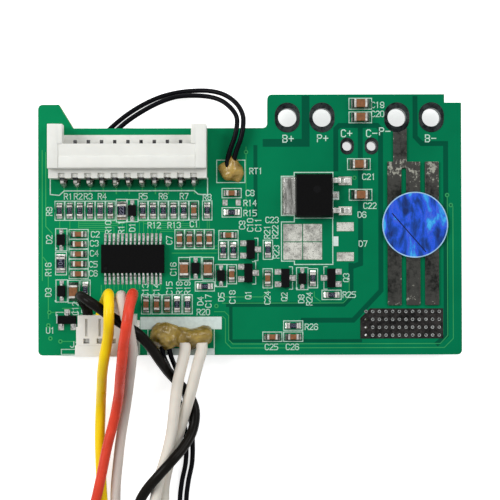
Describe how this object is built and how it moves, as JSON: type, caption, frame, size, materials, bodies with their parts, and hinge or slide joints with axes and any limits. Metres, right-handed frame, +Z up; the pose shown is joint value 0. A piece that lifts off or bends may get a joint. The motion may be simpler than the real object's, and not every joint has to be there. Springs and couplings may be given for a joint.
{
  "type": "battery management board",
  "caption": "Flat rectangular circuit board that monitors and switches a battery pack, with an open side-entry cell header, power wire holes and a plugged pigtail of free wires.",
  "frame": {"origin": "under the middle of the board, level with the faces of the underside power transistors that it rests on", "axes": "+X along the board's long side towards the power wire holes, +Y across it towards the cell header's edge, +Z up out of the component side"},
  "size_m": [0.065, 0.1213, 0.0151],
  "materials": {
    "board_mask": "green solder mask over glass laminate",
    "tinned_copper": "bright tinned copper",
    "solder": "bright tin solder",
    "tinned_pin": "tin-plated lead",
    "ivory_plastic": "ivory connector plastic",
    "white_plastic": "white connector plastic",
    "black_insulation": "black wire insulation, semi-gloss",
    "yellow_insulation": "yellow wire insulation, semi-gloss",
    "grey_insulation": "grey wire insulation, semi-gloss",
    "red_insulation": "red wire insulation, semi-gloss",
    "white_insulation": "white wire insulation, semi-gloss",
    "bead_resin": "black epoxy bead",
    "amber_glue": "aged amber adhesive, glossy",
    "chip_black": "black moulded epoxy",
    "resistor_body": "black-topped ceramic",
    "capacitor_body": "brown ceramic",
    "shunt_metal": "dark metal strip",
    "sticker_film": "blue holographic film"
  },
  "bodies": {
    "root": {"circuit_board": "board_mask", "wire_terminals": "tinned_copper", "power_track_solder": "solder", "via_field": "solder", "open_footprint_lands": "solder", "cell_header_housing": "ivory_plastic", "cell_header_pins": "tinned_pin", "cell_header_joints": "solder", "comm_header_housing": "white_plastic", "comm_header_pins": "tinned_pin", "comm_header_joints": "solder", "comm_plug_housing": "white_plastic", "comm_plug_contacts": "tinned_pin", "comm_wire_black": "black_insulation", "comm_wire_yellow": "yellow_insulation", "comm_wire_grey": "grey_insulation", "comm_wire_red": "red_insulation", "comm_wire_strands": "tinned_pin", "output_wire_left": "white_insulation", "output_wire_right": "white_insulation", "output_wire_strands": "tinned_pin", "probe_wire_left": "black_insulation", "probe_wire_right": "black_insulation", "probe_bead": "bead_resin", "board_sensor_wire_outer": "black_insulation", "board_sensor_wire_inner": "black_insulation", "board_sensor_bead": "bead_resin", "sensor_glue": "amber_glue", "output_glue": "amber_glue", "lead_strands": "tinned_pin", "lead_joints": "solder", "monitor_body": "chip_black", "monitor_leads": "tinned_pin", "monitor_joints": "solder", "charge_diode_body": "chip_black", "charge_diode_frame": "tinned_pin", "charge_diode_joints": "solder", "cell_row_resistors": "resistor_body", "drive_resistors": "resistor_body", "large_resistors": "resistor_body", "cell_row_capacitors": "capacitor_body", "drive_capacitors": "capacitor_body", "large_capacitors": "capacitor_body", "chip_joints": "solder", "small_diode_bodies": "chip_black", "small_diode_leads": "tinned_pin", "transistor_bodies": "chip_black", "transistor_leads": "tinned_pin", "small_package_joints": "solder", "power_transistor_bodies": "chip_black", "power_transistor_frames": "tinned_pin", "power_transistor_joints": "solder", "shunt_resistors": "shunt_metal", "shunt_joints": "solder", "inspection_sticker": "sticker_film"}
  },
  "joints": []
}
